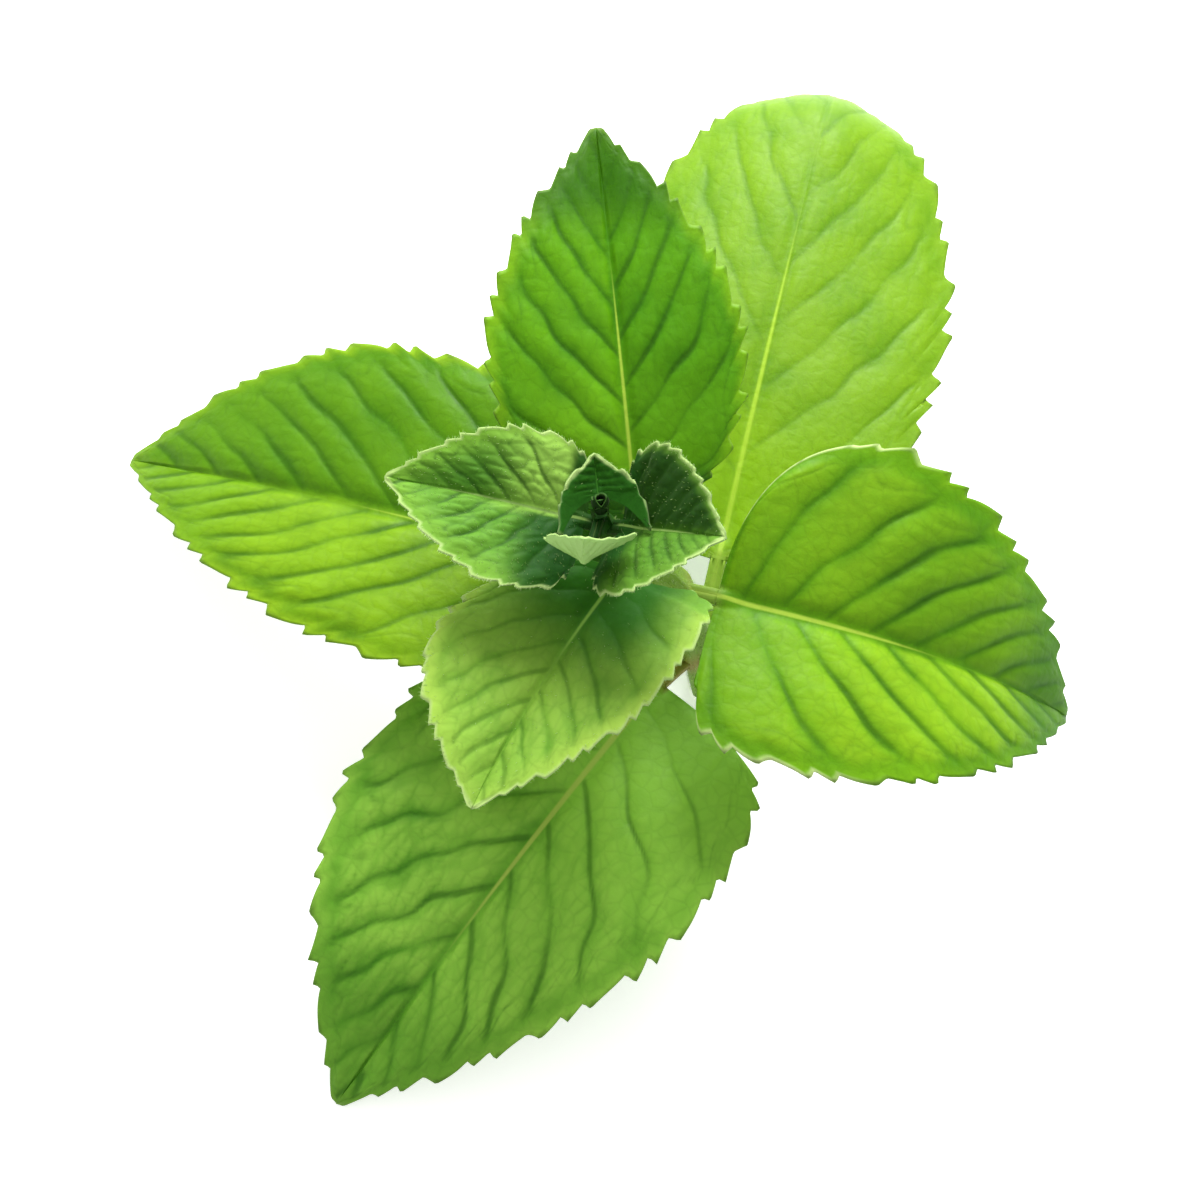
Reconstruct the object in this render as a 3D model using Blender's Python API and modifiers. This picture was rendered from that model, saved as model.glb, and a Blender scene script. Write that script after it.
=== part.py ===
"""A mint sprig: five opposite pairs of toothed leaves and a bud on a leaning, cut stem.

It lies on its lowest leaves: the stem's cut end and the tips of the four big leaves touch the
surface, and the shoot's tip faces up. Lengths are in millimetres and angles in degrees until
the last step of each shape, where MM turns them to Blender's metres. Headings count round +Z
from +X, and a rise is the angle above level.
"""

import bmesh
import bpy
import numpy as np

MM = 0.001
COLLECTION = "mint_sprig"

# The sprig's own middle, taken to the origin: the box's bottom centre.
ORIGIN = (-0.8, 1.2, -0.2)

# The stem's places from the cut end up, each with its half width across the flats.
# Leaf pairs grow from the five nodes between the cut end and the tip.
STEM = {
    "cut_end": ((10.4, -8.6, 0.0), 1.45),
    "node_1": ((9.5, -8.0, 8.0), 1.5),
    "node_2": ((7.2, -5.8, 19.0), 1.35),
    "node_3": ((3.6, -5.0, 27.0), 1.1),
    "node_4": ((0.5, -5.0, 33.0), 0.85),
    "node_5": ((0.0, -5.1, 36.5), 0.65),
    "tip": ((0.0, -5.3, 37.4), 0.5),
}
STEM_COLOUR = (0.30, 0.42, 0.10)
STEM_CORNER = 0.35  # the corners' round, as a share of the half width
STEM_STEPS = 3  # rings between two places
STEM_REACH = 1.3  # how far the stem's corners and swell reach, in half widths
STEM_GAP = 0.3  # what each leaf stalk and the bud stay clear of the stem

BLADE_THICKNESS = 0.45
MIDRIB_THICKNESS = 1.5  # blade and rib together, at the blade's base
ROWS_PER_TOOTH = 2
STALK_ROWS = 4
COLUMNS = (0.0, 0.1, 0.52, 1.0)  # shares of each row, from the midrib to the margin
TOOTH_PEAK = 0.76  # where each tooth is highest, as a share of its length: it points forward
TOOTH_LEAN = 0.4  # how far its point leans forward, as a share of its height
TOOTH_DIP = 0.4  # how far the notches cut in behind the smooth margin, as a share of tooth
TOOTH_STRAY = 0.22  # how far a tooth strays from its even place, as a share of its length
TOOTH_GROWTH = 0.16  # share of the margin over which the teeth grow to full size
TOOTH_SIZES = (0.7, 1.2)  # the smallest and the largest tooth, as shares of tooth
ROW_BULGE = 0.13  # how far a row, which follows a side vein, bows back towards the base
LOBE_BOW = 1.2  # in a lobe, a row sets out sideways, and this much of its way back bows it
ROW_POWER = 2.2  # rows leave the midrib below where they reach the margin

BUD_HEIGHT = 2.8
BUD_WIDTH = 2.3

# Each leaf: its node, the lengths of stalk and blade, the blade's width, and its colour.
# teeth is their number on each side and tooth their height. heading, sweep and stalk_turn aim
# the midrib in plan; rise, droop and tip_droop aim it up and bend it down towards the tip,
# which starts its own bend at tip_from. fold lifts each half blade, curl bends it on, and
# fold_tip changes the fold towards the tip. widest is where along the blade it is widest,
# square how full the base is, taper how full the tip is, and lobe how far the base reaches
# back round the stem. The teeth start at tooth_from and are tooth_sides times as high.
# Pairs of numbers are for the left and the right half.
LEAVES = {
    "leaf_lowest_back": dict(
        node="node_1", stalk=9.0, length=64.0, width=34.0, teeth=21, tooth=0.9,
        tooth_sides=(1.3, 1.3), heading=77, sweep=-1,
        rise=13, droop=21.5, tip_droop=96, tip_from=0.73,
        fold=(6, 6), fold_tip=-26, curl=-10, widest=(0.46, 0.46), square=(2.4, 2.4),
        colour=(0.42, 0.66, 0.10)),
    "leaf_lowest_front": dict(
        node="node_1", stalk=5.5, length=51.6, width=34.2, teeth=20, tooth=0.85,
        heading=233.8, sweep=-3.4, stalk_turn=-12, rise=15, droop=46.3,
        fold=(6, 6), curl=-10, sides=(0.97, 1.05), widest=(0.33, 0.47), square=(3.3, 4.0),
        colour=(0.22, 0.40, 0.06)),
    "leaf_right": dict(
        node="node_2", stalk=4.0, length=43.0, width=35.0, teeth=18, tooth=0.8,
        tooth_sides=(1.6, 1.1), tooth_from=(0.30, 0.10),
        heading=-16, sweep=14.5, rise=11.5, droop=74.5,
        fold=(18, 8), curl=-8, sides=(1.0, 0.86), widest=(0.31, 0.26), square=(2.3, 4.5),
        colour=(0.24, 0.43, 0.04)),
    "leaf_left": dict(
        node="node_2", stalk=6.0, length=57.0, width=31.5, teeth=21, tooth=0.8,
        heading=164, sweep=-10, rise=3, droop=41.7, fold=(10, 10), curl=-10,
        sides=(0.94, 1.05), widest=(0.33, 0.52), square=(4.2, 4.5),
        colour=(0.22, 0.42, 0.04)),
    "leaf_upper_back": dict(
        node="node_3", stalk=3.5, length=36.5, width=24.5, teeth=17, tooth=0.75,
        heading=96, rise=28, droop=26, fold=(12, 12), curl=-5,
        sides=(1.0, 0.92), widest=(0.42, 0.42), square=(2.2, 2.2),
        colour=(0.15, 0.35, 0.02)),
    "leaf_upper_front": dict(
        node="node_3", stalk=3.2, length=26.6, width=21.5, teeth=17, tooth=0.55, lobe=3.1,
        heading=234.5, sweep=10, rise=15, droop=20, fold=(20, 9), curl=-5,
        sides=(0.96, 1.0), widest=(0.34, 0.55), square=(4.5, 1.7),
        colour=(0.27, 0.45, 0.09)),
    "young_leaf_left": dict(
        node="node_4", stalk=2.0, length=18.5, width=15.5, teeth=13, tooth=0.45,
        tooth_from=(0.10, 0.06),
        heading=169, rise=17, droop=20, fold=(12, 20), curl=0, sides=(1.1, 0.88),
        colour=(0.14, 0.31, 0.05)),
    "young_leaf_right": dict(
        node="node_4", stalk=2.6, length=13.5, width=15.0, teeth=12, tooth=0.45,
        tooth_from=(0.10, 0.10),
        heading=-27, rise=49, droop=10, fold=(28, 12), curl=(5, -10),
        colour=(0.17, 0.33, 0.07)),
    "tip_leaf_back": dict(
        node="node_5", stalk=1.3, length=4.2, width=9.8, teeth=7, tooth=0.2, lobe=4.6,
        taper=1.1, tooth_from=(0.35, 0.35),
        heading=96, rise=4, droop=-25, fold=(34, 28), curl=10, widest=(0.1, 0.1),
        colour=(0.08, 0.22, 0.02)),
    "tip_leaf_front": dict(
        node="node_5", stalk=3.4, length=8.2, width=9.2, teeth=8, tooth=0.3,
        tooth_from=(0.15, 0.15),
        heading=256, rise=-10, droop=-130, fold=(38, 14), curl=0,
        sides=(1.06, 0.8), widest=(0.6, 0.7),
        colour=(0.20, 0.38, 0.06)),
}
# What a leaf has where its row above says nothing.
USUAL = dict(
    sweep=0, stalk_turn=0, tip_droop=0, tip_from=0.75, fold_tip=0,
    sides=(1.0, 1.0), widest=(0.36, 0.36), square=(3.0, 3.0), taper=1.7, lobe=0.0,
    tooth_sides=(1.15, 1.15), tooth_from=(0.06, 0.06))


def smooth(start, end, value):
    """0 before start, 1 after end, and an S between them."""
    share = np.clip((value - start) / (end - start), 0, 1)
    return share * share * (3 - 2 * share)


def stalk_half(leaf):
    """Half the width of a leaf's stalk: 0.8 mm on the big leaves."""
    return min(0.8, 0.045 * leaf["width"])


def half_margin(leaf, side, count=1200):
    """The flat margin of one half blade: x along the midrib, y out, and the share of its run."""
    across = 0 if side > 0 else 1
    widest = leaf["widest"][across]
    square = leaf["square"][across]
    share = 0.5 - 0.5 * np.cos(np.linspace(0, np.pi, count))
    back = np.clip((widest - share) / widest, 0, 1)
    ahead = np.clip((share - widest) / (1 - widest), 0, 1)
    out = np.where(share < widest, (1 - back ** square) ** (1 / square), 1 - ahead ** leaf["taper"])
    out *= leaf["width"] / 2 * leaf["sides"][across]
    stalk = stalk_half(leaf) * (1 - smooth(0.5, 1, share))
    out = np.hypot(out, stalk) * (1 - smooth(0.995, 1, share))
    lobe = leaf["lobe"] * (out ** 2 - out[0] ** 2) / out.max() ** 2
    along = share * leaf["length"] - lobe * (1 - smooth(0.0, 0.45, share))
    run = np.concatenate([[0], np.cumsum(np.hypot(np.diff(along), np.diff(out)))])
    return along, out, run / run[-1]


def chance(number):
    """A fixed random share, 0 to 1, for each number."""
    value = np.sin(number * 12.9898 + 4.1) * 43758.5453
    return value - np.floor(value)


def toothed_margin(leaf, side):
    """The margin's points, ROWS_PER_TOOTH to a tooth, as x, y and the share of the run."""
    across = 0 if side > 0 else 1
    along, out, run = half_margin(leaf, side)
    # the beat counts teeth along the margin, unevenly, as they grow
    fine = np.linspace(0, 1, 1200)
    beat = fine * leaf["teeth"]
    beat += TOOTH_STRAY * (np.sin(2.3 * beat + leaf["heading"] + side)
                           * smooth(0, 0.1, fine) * (1 - smooth(0.9, 1, fine)))
    tooth = np.repeat(np.arange(leaf["teeth"]), ROWS_PER_TOOTH)
    lift = np.tile([0.0, TOOTH_PEAK], leaf["teeth"])
    share = np.append(np.interp(tooth + lift, beat, fine), 1.0)
    first = leaf["tooth_from"][across]
    grown = smooth(first, first + TOOTH_GROWTH, share)
    small, large = TOOTH_SIZES
    size = small + (large - small) * chance(tooth + 40 * side + leaf["heading"])
    height = np.append(size * lift / TOOTH_PEAK, 0.0) * leaf["tooth"] * leaf["tooth_sides"][across]
    height *= grown * (1 - 0.6 * smooth(0.8, 1, share))
    ahead = np.gradient(along, run), np.gradient(out, run)
    length = np.hypot(*ahead)
    turn_x = np.interp(share, run, ahead[0] / length)
    turn_y = np.interp(share, run, ahead[1] / length)
    dip = TOOTH_DIP * leaf["tooth"] * grown * (1 - smooth(0.9, 1, share))
    x = np.interp(share, run, along) - turn_y * (height - dip) + TOOTH_LEAN * turn_x * height
    y = np.interp(share, run, out) + turn_x * (height - dip) + TOOTH_LEAN * turn_y * height
    y[-1] = 0
    return x, y, share


def half_blade(leaf, side):
    """Flat places of one half: rows that fan from the midrib like side veins, out to the margin."""
    x, y, share = toothed_margin(leaf, side)
    root = leaf["length"] * share ** ROW_POWER
    start = np.stack([root, 0 * root], 1)
    end = np.stack([x, y], 1)
    run = end - start
    bulge = ROW_BULGE * smooth(0.0, 0.3, share)[:, None]
    bow = (start + end) / 2 + bulge * np.stack([-run[:, 1], run[:, 0]], 1)
    bow[:, 0] += LOBE_BOW * np.maximum(-run[:, 0], 0)
    t = np.array(COLUMNS)[None, :, None]
    blade = (1 - t) ** 2 * start[:, None] + 2 * t * (1 - t) * bow[:, None] + t ** 2 * end[:, None]

    clear = STEM[leaf["node"]][1] * STEM_REACH + STEM_GAP
    clear /= np.cos(np.radians(leaf["rise"]))
    stalk_x = np.linspace(clear - leaf["stalk"], 0, STALK_ROWS, endpoint=False)
    stalk = np.stack(np.broadcast_arrays(
        stalk_x[:, None], stalk_half(leaf) * np.array(COLUMNS)), -1)
    return np.concatenate([stalk, blade])


def midrib(leaf, count=400):
    """The midrib in space: its reach from the blade's base, places and three directions."""
    total = leaf["stalk"] + leaf["length"]
    reach = np.linspace(-leaf["lobe"], total, count)
    t = np.maximum(reach / total, 0)
    rise = np.radians(leaf["rise"] - leaf["droop"] * t
                      - leaf["tip_droop"] * smooth(leaf["tip_from"], 1, t))
    stalk_share = 1.6 * leaf["stalk"] / total
    turn = leaf["sweep"] * t + leaf["stalk_turn"] * (1 - smooth(0, stalk_share, t))
    heading = np.radians(leaf["heading"] + turn)
    ahead = np.stack([np.cos(rise) * np.cos(heading),
                      np.cos(rise) * np.sin(heading), np.sin(rise)], 1)
    left = np.stack([-np.sin(heading), np.cos(heading), 0 * heading], 1)
    steps = np.diff(reach)[:, None] * (ahead[1:] + ahead[:-1]) / 2
    places = np.concatenate([[np.zeros(3)], np.cumsum(steps, 0)])
    places += STEM[leaf["node"]][0] - np.array([np.interp(0, reach, line) for line in places.T])
    return reach - leaf["stalk"], places, left, np.cross(ahead, left)


def bend(leaf, flat, side):
    """Flat places of one half taken to space: along the midrib, then folded and curled."""
    reach, places, left, up = midrib(leaf)
    x, y = flat[..., 0], flat[..., 1]
    along = [np.stack([np.interp(x, reach, line[:, axis]) for axis in range(3)], -1)
             for line in (places, left, up)]
    across = 0 if side > 0 else 1
    share = np.clip(x / leaf["length"], 0, 1)
    out = y / (leaf["width"] / 2)
    curl = leaf["curl"][across] if isinstance(leaf["curl"], tuple) else leaf["curl"]
    angle = np.radians(leaf["fold"][across] + leaf["fold_tip"] * share + curl * out / 2)
    chord = y * np.sinc(np.radians(curl * out) / 2 / np.pi)
    level = (side * chord * np.cos(angle))[..., None]
    lift = (chord * np.sin(angle))[..., None]
    return along[0] + along[1] * level + along[2] * lift


def thickness_share(leaf, flat):
    """Solidify's share at each place: full along the stalk, thin over the blade."""
    thin = BLADE_THICKNESS / MIDRIB_THICKNESS
    size = min(1.0, leaf["width"] / 30)
    share = np.clip(flat[..., 0] / leaf["length"], 0, 1)
    rib = np.where(np.array(COLUMNS) == 0, 1.0, 0.0) * (1 - share) * size
    blade = np.full(rib.shape, thin * (0.6 + 0.4 * size))
    stalk = size * (1 - 0.5 * np.array(COLUMNS) ** 2)
    return np.where(flat[..., 0] < 0.01, np.maximum(stalk, thin * 0.6), np.maximum(rib, blade))


def material(name, colour, roughness=0.55):
    """A Principled material of one colour."""
    made = bpy.data.materials.new(name)
    made.use_nodes = True
    shader = made.node_tree.nodes["Principled BSDF"]
    shader.inputs["Base Color"].default_value = (*colour, 1)
    shader.inputs["Roughness"].default_value = roughness
    shader.inputs["Metallic"].default_value = 0
    return made


def add_object(name, data, colour, collection):
    """An object of that data in the sprig's collection, with its own material."""
    data.materials.append(material(name, colour))
    made = bpy.data.objects.new(name, data)
    made.location = [-value * MM for value in ORIGIN]
    collection.objects.link(made)
    return made


def add_leaf(name, leaf, collection):
    """One leaf: an open toothed sheet, bent to shape, and thickened downwards."""
    halves = {side: half_blade(leaf, side) for side in (1, -1)}
    shaped = {side: bend(leaf, halves[side], side) for side in (1, -1)}
    shares = {side: thickness_share(leaf, halves[side]) for side in (1, -1)}
    rows = len(halves[1]) - 1
    columns = len(COLUMNS) - 1

    mesh = bpy.data.meshes.new(name)
    sheet = bmesh.new()
    bmesh.ops.create_grid(sheet, x_segments=rows, y_segments=2 * columns, size=0.5)
    group = sheet.verts.layers.deform.verify()
    for vert in sheet.verts:
        row = round((vert.co.x + 0.5) * rows)
        column = round(2 * vert.co.y * columns)
        side = 1 if column > 0 else -1
        vert[group][0] = shares[side][row, abs(column)]
        vert.co = shaped[side][row, abs(column)] * MM
    bmesh.ops.remove_doubles(sheet, verts=sheet.verts, dist=0.01 * MM)
    sheet.to_mesh(mesh)
    sheet.free()

    made = add_object(name, mesh, leaf["colour"], collection)
    made.vertex_groups.new(name="thickness")
    solid = made.modifiers.new("thickness", "SOLIDIFY")
    solid.thickness = MIDRIB_THICKNESS * MM
    solid.offset = -1
    solid.vertex_group = "thickness"
    return made


def add_stem(collection):
    """The square stem: a curve through its places, bevelled by a square with round corners."""
    corner = bpy.data.curves.new("stem_section", "CURVE")
    corner.dimensions = "2D"
    ring = corner.splines.new("POLY")
    steps = 3  # points on each round corner
    ring.points.add(4 * steps - 1)
    inset = (1 - STEM_CORNER) * np.sqrt(2)
    for index, point in enumerate(ring.points):
        quarter = index // steps * np.pi / 2
        turn = quarter + index % steps / (steps - 1) * np.pi / 2
        x = inset * np.cos(quarter + np.pi / 4) + STEM_CORNER * np.cos(turn)
        y = inset * np.sin(quarter + np.pi / 4) + STEM_CORNER * np.sin(turn)
        point.co = (x * MM, -y * MM, 0, 1)
    ring.use_cyclic_u = True
    section = bpy.data.objects.new("stem_section", corner)

    path = bpy.data.curves.new("stem", "CURVE")
    path.dimensions = "3D"
    path.bevel_mode = "OBJECT"
    path.bevel_object = section
    path.use_fill_caps = True
    path.resolution_u = STEM_STEPS
    path.twist_mode = "MINIMUM"
    spline = path.splines.new("BEZIER")
    spline.bezier_points.add(len(STEM) - 1)
    for point, (place, half_width) in zip(spline.bezier_points, STEM.values()):
        point.co = [value * MM for value in place]
        point.radius = half_width
        point.handle_left_type = "AUTO"
        point.handle_right_type = "AUTO"
    return add_object("stem", path, STEM_COLOUR, collection)


def add_bud(collection):
    """The bud: an egg on the stem's tip, drawn to a blunt point."""
    mesh = bpy.data.meshes.new("tip_bud")
    egg = bmesh.new()
    bmesh.ops.create_uvsphere(egg, u_segments=12, v_segments=8, radius=0.5)
    base = np.array(STEM["tip"][0]) + (0, 0, STEM_GAP)
    for vert in egg.verts:
        height = vert.co.z + 0.5
        slim = 1 - 0.35 * height
        vert.co.x = (base[0] + vert.co.x * BUD_WIDTH * slim) * MM
        vert.co.y = (base[1] + vert.co.y * BUD_WIDTH * slim) * MM
        vert.co.z = (base[2] + height * BUD_HEIGHT) * MM
    egg.to_mesh(mesh)
    egg.free()
    return add_object("tip_bud", mesh, (0.02, 0.09, 0.01), collection)


def main():
    for old in list(bpy.data.objects):
        bpy.data.objects.remove(old, do_unlink=True)
    collection = bpy.data.collections.new(COLLECTION)
    bpy.context.scene.collection.children.link(collection)
    add_stem(collection)
    for name, leaf in LEAVES.items():
        add_leaf(name, {**USUAL, **leaf}, collection)
    add_bud(collection)


main()
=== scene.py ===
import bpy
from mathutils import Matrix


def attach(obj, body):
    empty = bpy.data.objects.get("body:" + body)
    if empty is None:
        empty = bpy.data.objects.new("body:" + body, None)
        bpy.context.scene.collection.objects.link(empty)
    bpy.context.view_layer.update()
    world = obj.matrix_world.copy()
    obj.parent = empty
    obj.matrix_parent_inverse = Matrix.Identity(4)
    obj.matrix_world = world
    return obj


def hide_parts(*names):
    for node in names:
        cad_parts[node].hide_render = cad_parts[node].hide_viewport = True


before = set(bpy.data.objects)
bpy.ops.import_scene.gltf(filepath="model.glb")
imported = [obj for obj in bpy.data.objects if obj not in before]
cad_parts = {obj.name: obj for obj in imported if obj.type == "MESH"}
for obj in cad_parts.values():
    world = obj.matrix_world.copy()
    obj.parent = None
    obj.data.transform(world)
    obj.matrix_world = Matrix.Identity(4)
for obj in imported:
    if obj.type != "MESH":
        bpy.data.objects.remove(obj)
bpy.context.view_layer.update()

import bmesh
import bpy
import numpy as np
from mathutils import Vector

# Shapes are worked out in millimetres and degrees and turned to metres at the end.
# Headings count round +Z from +X.
mm = 0.001
origin = np.array([-0.8, 1.2, -0.2])  # the middle of the sprig's box, taken to the world's origin


def toLinear(code):
    values = [int(code[place:place + 2], 16) / 255 for place in (1, 3, 5)]
    return tuple(v / 12.92 if v <= 0.04045 else ((v + 0.055) / 1.055) ** 2.4 for v in values) + (1.0,)


def smooth(start, end, value):
    share = np.clip((value - start) / (end - start), 0, 1)
    return share * share * (3 - 2 * share)


def chance(number):
    # A fixed random share, 0 to 1, for each whole number.
    value = np.sin(number * 12.9898 + 4.1) * 43758.5453
    return value - np.floor(value)


def addNode(tree, kind, links=None, **settings):
    # links: input name or number -> a socket or a node's first output to link, or a value to set
    node = tree.nodes.new(kind)
    for key, value in settings.items():
        setattr(node, key, value)
    for key, value in (links or {}).items():
        if isinstance(value, bpy.types.Node):
            value = value.outputs[0]
        if isinstance(value, bpy.types.NodeSocket):
            tree.links.new(value, node.inputs[key])
        else:
            node.inputs[key].default_value = value
    return node


def emptyMaterial(name):
    made = bpy.data.materials.new(name)
    made.use_nodes = True
    made.node_tree.nodes.clear()
    return made, made.node_tree


# The camera looks steeply down at a sprig on a white card, under one large soft light.
view = dict(elevation=70, lens=100, sensor=36, distance=0.333, lookAt=(0.0008, -0.0012, 0.0002))
light = dict(sky=0.85, keyPower=8.0, keySize=0.35, keyHeading=84, keyRise=38, keyDistance=0.55,
             keyTarget=(0, 0, 0.02))
table = dict(size=3.0, drop=0.0003, glow=0.45, roughness=0.9, colour="#f7f7f5")


def aimAt(thing, place, target):
    thing.location = place
    thing.rotation_euler = (Vector(target) - Vector(place)).to_track_quat("-Z", "Y").to_euler()


def setStage():
    scene = bpy.context.scene
    lookAt = Vector(view["lookAt"])
    camera = bpy.data.objects.new("camera", bpy.data.cameras.new("camera"))
    scene.collection.objects.link(camera)
    camera.data.lens = view["lens"]
    camera.data.sensor_width = view["sensor"]
    camera.data.clip_start = 0.01
    rise = np.radians(view["elevation"])
    away = Vector((0, -np.cos(rise), np.sin(rise)))
    aimAt(camera, lookAt + away * view["distance"], lookAt)
    scene.camera = camera

    world = bpy.data.worlds.new("studio")
    scene.world = world
    world.use_nodes = True
    sky = world.node_tree.nodes["Background"]
    sky.inputs["Color"].default_value = toLinear("#ffffff")
    sky.inputs["Strength"].default_value = light["sky"]

    key = bpy.data.objects.new("softbox", bpy.data.lights.new("softbox", "AREA"))
    scene.collection.objects.link(key)
    key.data.energy = light["keyPower"]
    key.data.size = light["keySize"]
    heading = np.radians(light["keyHeading"])
    lift = np.radians(light["keyRise"])
    towards = Vector((np.cos(lift) * np.cos(heading), np.cos(lift) * np.sin(heading), np.sin(lift)))
    aimAt(key, lookAt + towards * light["keyDistance"], light["keyTarget"])

    bpy.ops.mesh.primitive_plane_add(size=table["size"], location=(0, 0, -table["drop"]))
    floor = bpy.context.object
    floor.name = "floor"
    # White card: matt and uncoated, so the ground is plain and even with only soft shadows.
    paper = bpy.data.materials.new("white_card")
    paper.use_nodes = True
    card = paper.node_tree.nodes["Principled BSDF"]
    card.inputs["Base Color"].default_value = toLinear(table["colour"])
    card.inputs["Roughness"].default_value = table["roughness"]
    card.inputs["Emission Color"].default_value = toLinear("#ffffff")
    card.inputs["Emission Strength"].default_value = table["glow"]  # lit from below, as a light table is
    floor.data.materials.append(paper)

    scene.view_settings.view_transform = "Standard"
    scene.view_settings.look = "None"
    print("stage set")


# The stem's places from the cut end up, each with its half width across the flats.
stemPlaces = {
    "cutEnd": ((10.4, -8.6, 0.0), 1.45),
    "node1": ((9.5, -8.0, 8.0), 1.5),
    "node2": ((7.2, -5.8, 19.0), 1.35),
    "node3": ((3.6, -5.0, 27.0), 1.1),
    "node4": ((0.5, -5.0, 33.0), 0.85),
    "node5": ((0.0, -5.1, 36.5), 0.65),
    "tip": ((0.0, -5.3, 37.4), 0.5),
}

# What a leaf has unless its own dictionary says otherwise. Lengths are mm and angles degrees. A pair
# is for the left and the right half, and From and Fade are shares of the leaf's length or margin.
usualLeaf = dict(
    sweep=0, stalkTurn=0, tipDroop=0, tipFrom=0.75, foldTip=0, sides=(1.0, 1.0), widest=(0.36, 0.36),
    square=(3.0, 3.0), taper=1.7, veins=14, puff=0.17, cross=0.30, cell=2.1, perBand=1.4, crack=0.5,
    stray=0.09, veinWidth=0.30, cellShare=0.5, nearRib=1.0, nearBase=0.7, trough=0.35, wave=0.12,
    waves=3.0, blade=0.28, rib=1.05, ribWidth=1.0, ribFade=0.75, lobe=0.0, rimThickness=0.16,
    toothSides=(1.15, 1.15), toothFrom=(0.06, 0.06), columns=50, toothSteps=10, down=0.0, fringe=0.0,
    downLength=0.25)

stalkRows = 12
rowBulge = 0.11  # how far a row, which follows a side vein, bows back towards the base
lobeBow = 0.9
rowPower = 3.1  # rows leave the midrib well below where they reach the margin
columnPower = 1.2  # columns stand closer together near the midrib
toothPeak = 0.76  # where each tooth is highest along its length: it points forward
toothLean = 0.4  # how far a tooth points forward, as a share of its height
toothDip = 0.4  # how far the margin is cut back between teeth, likewise
toothRun = 0.16  # the share of the margin over which the teeth grow to their full size
fullWidth = 30  # a leaf this wide has full-grown veins and ribs; a narrower one has finer ones

# Depths, heights and half widths on a full-grown leaf, in mm.
relief = dict(
    troughHalf=1.4, ridgeHalf=0.30, ridge=0.14, loop=0.05, backVein=0.22, ribHalf=0.55, ribHalfLeast=0.12,
    stalkRound=0.6)  # stalkRound is a share of the stalk's own half width


def stalkHalf(leaf):
    return min(0.8, 0.045 * leaf["width"])


def growth(leaf):
    return min(1.0, leaf["width"] / fullWidth)


def marginLine(leaf, side, count=2000):
    across = 0 if side > 0 else 1
    widest = leaf["widest"][across]
    square = leaf["square"][across]
    share = 0.5 - 0.5 * np.cos(np.linspace(0, np.pi, count))
    back = np.clip((widest - share) / widest, 0, 1)
    ahead = np.clip((share - widest) / (1 - widest), 0, 1)
    out = np.where(share < widest, (1 - back ** square) ** (1 / square), 1 - ahead ** leaf["taper"])
    out *= leaf["width"] / 2 * leaf["sides"][across]
    stalk = stalkHalf(leaf) * (1 - smooth(0.5, 1, share))
    out = np.hypot(out, stalk) * (1 - smooth(0.995, 1, share))
    # the base's lobes reach back past where the blade starts
    lobe = leaf["lobe"] * (out ** 2 - out[0] ** 2) / out.max() ** 2
    along = share * leaf["length"] - lobe * (1 - smooth(0.0, 0.45, share))
    run = np.concatenate([[0], np.cumsum(np.hypot(np.diff(along), np.diff(out)))])
    return along, out, run / run[-1]


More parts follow.
